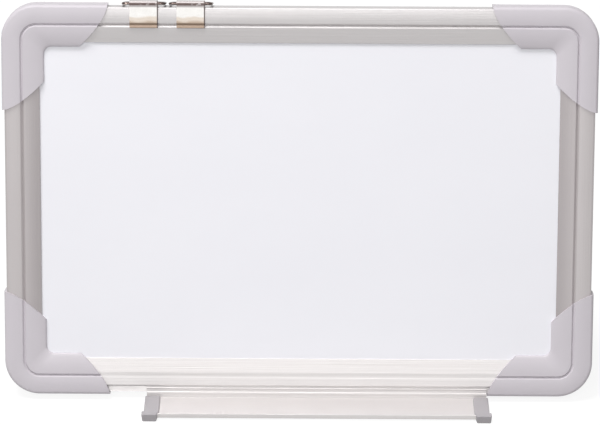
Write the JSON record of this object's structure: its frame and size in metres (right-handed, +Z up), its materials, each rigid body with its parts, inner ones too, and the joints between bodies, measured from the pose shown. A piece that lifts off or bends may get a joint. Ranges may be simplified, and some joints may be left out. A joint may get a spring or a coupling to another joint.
{
  "type": "desk whiteboard easel",
  "caption": "Magnetic desk whiteboard in an aluminium frame with moulded corner caps, sliding pen tray, sliding hangers with rings and a folding rear leg.",
  "frame": {"origin": "middle of the footprint's box, on the desk; the board's middle plane is x = 0", "axes": "+X to the right of someone facing the board, +Y away from them behind it, +Z up; the writing face looks along -Y and leans back 12 degrees"},
  "size_m": [0.4538, 0.1696, 0.3052],
  "materials": {
    "white_steel": "semi-gloss white enamel",
    "core_board": "raw honeycomb board",
    "back_steel": "smooth grey coat",
    "rail_aluminium": "matte anodised, drawn lengthwise",
    "cap_plastic": "fine satin moulding",
    "bracket_zinc": "plain plated",
    "screw_steel": "zinc plated",
    "tray_plastic": "fine satin moulding",
    "nickel": "bright nickel plate",
    "hinge_plastic": "satin moulding",
    "rod_steel": "zinc plated rod",
    "rubber": "matte"
  },
  "bodies": {
    "board": {"writing_sheet": "white_steel", "panel_core": "core_board", "back_sheet": "back_steel", "top_rail": "rail_aluminium", "bottom_rail": "rail_aluminium", "left_rail": "rail_aluminium", "right_rail": "rail_aluminium", "corner_cap_top_left": "cap_plastic", "corner_cap_top_right": "cap_plastic", "corner_cap_bottom_left": "cap_plastic", "corner_cap_bottom_right": "cap_plastic", "corner_bracket_top_left": "bracket_zinc", "corner_bracket_top_right": "bracket_zinc", "corner_bracket_bottom_left": "bracket_zinc", "corner_bracket_bottom_right": "bracket_zinc", "corner_screws": "screw_steel", "leg_bracket_left": "hinge_plastic", "leg_bracket_right": "hinge_plastic", "leg_bracket_screws": "screw_steel"},
    "tray": {"tray_channel": "rail_aluminium", "tray_cap_left": "tray_plastic", "tray_cap_right": "tray_plastic"},
    "hanger_left": {"hanger_strap_left": "nickel"},
    "ring_left": {"hanger_ring_left": "nickel"},
    "hanger_right": {"hanger_strap_right": "nickel"},
    "ring_right": {"hanger_ring_right": "nickel"},
    "leg": {"leg_rod": "rod_steel", "leg_sleeve_left": "rubber", "leg_sleeve_right": "rubber"}
  },
  "joints": [
    {"name": "tray_slide", "type": "slide", "parent": "board", "child": "tray", "axis": [1, 0, 0], "range_m": [-0.028, 0]},
    {"name": "hanger_left_slide", "type": "slide", "parent": "board", "child": "hanger_left", "axis": [1, 0, 0], "range_m": [-0.0103, 0.0008]},
    {"name": "ring_left_swing", "type": "hinge", "parent": "hanger_left", "child": "ring_left", "pos_m": [-0.1185, 0.01626, 0.30273], "axis": [1, 0, 0], "range_deg": [0, 210]},
    {"name": "hanger_right_slide", "type": "slide", "parent": "board", "child": "hanger_right", "axis": [1, 0, 0], "range_m": [-0.0008, 0.2115]},
    {"name": "ring_right_swing", "type": "hinge", "parent": "hanger_right", "child": "ring_right", "pos_m": [-0.0829, 0.01626, 0.30273], "axis": [1, 0, 0], "range_deg": [0, 210]},
    {"name": "leg_fold", "type": "hinge", "parent": "board", "child": "leg", "pos_m": [0, 0.0135, 0.18805], "axis": [1, 0, 0], "range_deg": [-32, 0]}
  ]
}
